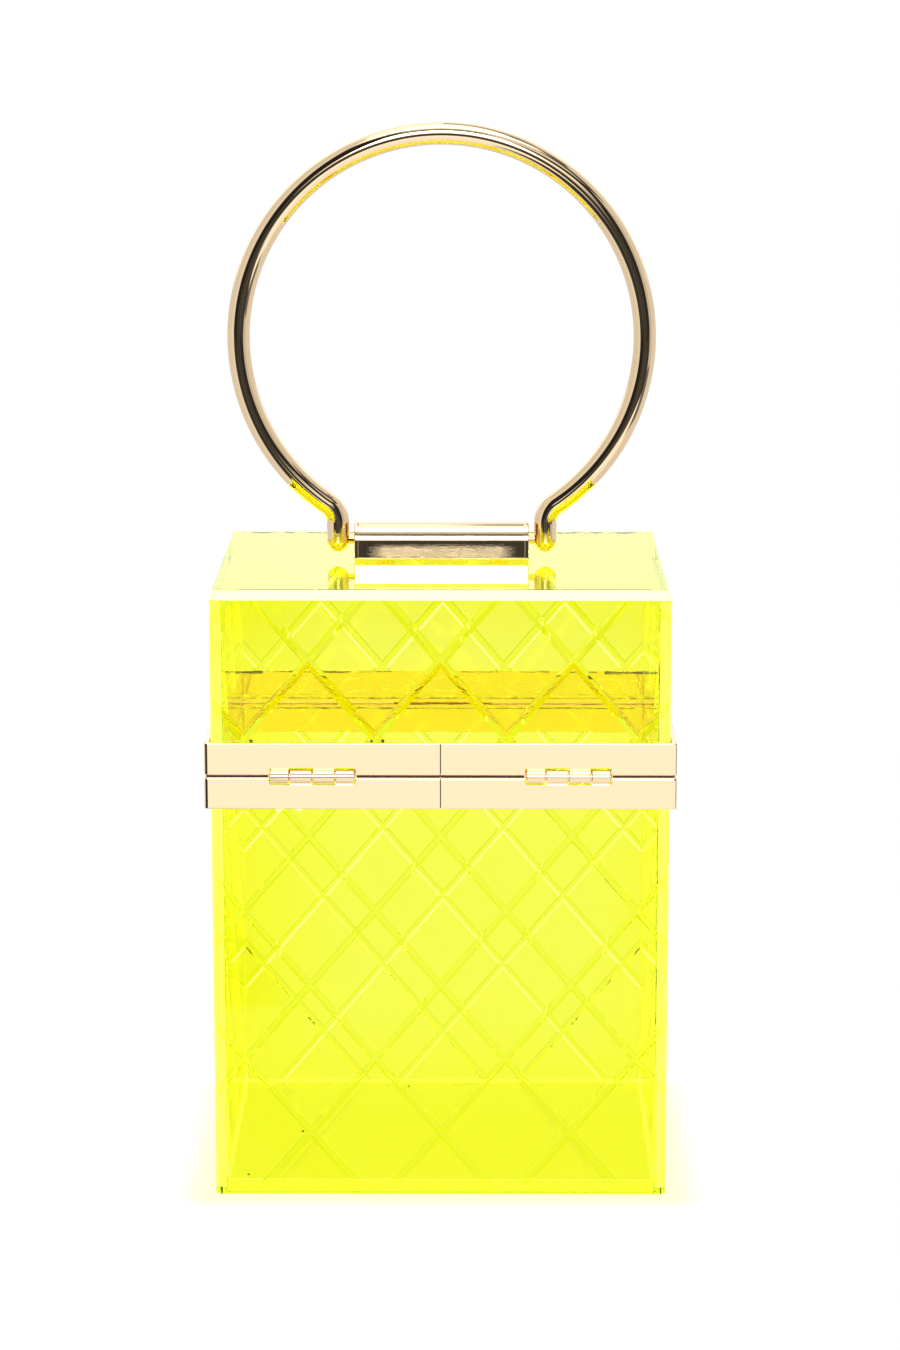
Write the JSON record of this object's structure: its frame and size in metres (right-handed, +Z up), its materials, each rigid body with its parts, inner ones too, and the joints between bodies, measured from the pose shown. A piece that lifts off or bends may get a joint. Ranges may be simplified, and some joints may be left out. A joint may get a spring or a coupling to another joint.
{
  "type": "box clutch with ring handle",
  "caption": "Upright hard box clutch of clear yellow acrylic with diamond grooves, a hinged lid, polished metal frames and a swinging ring handle.",
  "frame": {"origin": "middle of the footprint, on the surface that the clutch stands on", "axes": "+X along the hinge, +Y from the hinge side to the clasp side, +Z up"},
  "size_m": [0.118, 0.0968, 0.2695],
  "materials": {
    "yellow_acrylic": "clear neon-yellow acrylic, polished",
    "pale_gold": "polished pale rose-gold plating"
  },
  "bodies": {
    "base": {"base_shell": "yellow_acrylic", "base_band": "pale_gold", "left_hinge_pin": "pale_gold", "right_hinge_pin": "pale_gold"},
    "lid": {"lid_shell": "yellow_acrylic", "lid_band": "pale_gold", "clasp": "pale_gold", "handle_barrel": "pale_gold", "left_screw": "pale_gold", "right_screw": "pale_gold"},
    "handle": {"ring_handle": "pale_gold", "handle_axle": "pale_gold"}
  },
  "joints": [
    {"name": "lid_hinge", "type": "hinge", "parent": "base", "child": "lid", "pos_m": [0, -0.0467, 0.1102], "axis": [1, 0, 0], "range_deg": [0, 105]},
    {"name": "handle_swing", "type": "hinge", "parent": "lid", "child": "handle", "pos_m": [0, 0, 0.1621], "axis": [1, 0, 0], "range_deg": [-90, 90]}
  ]
}
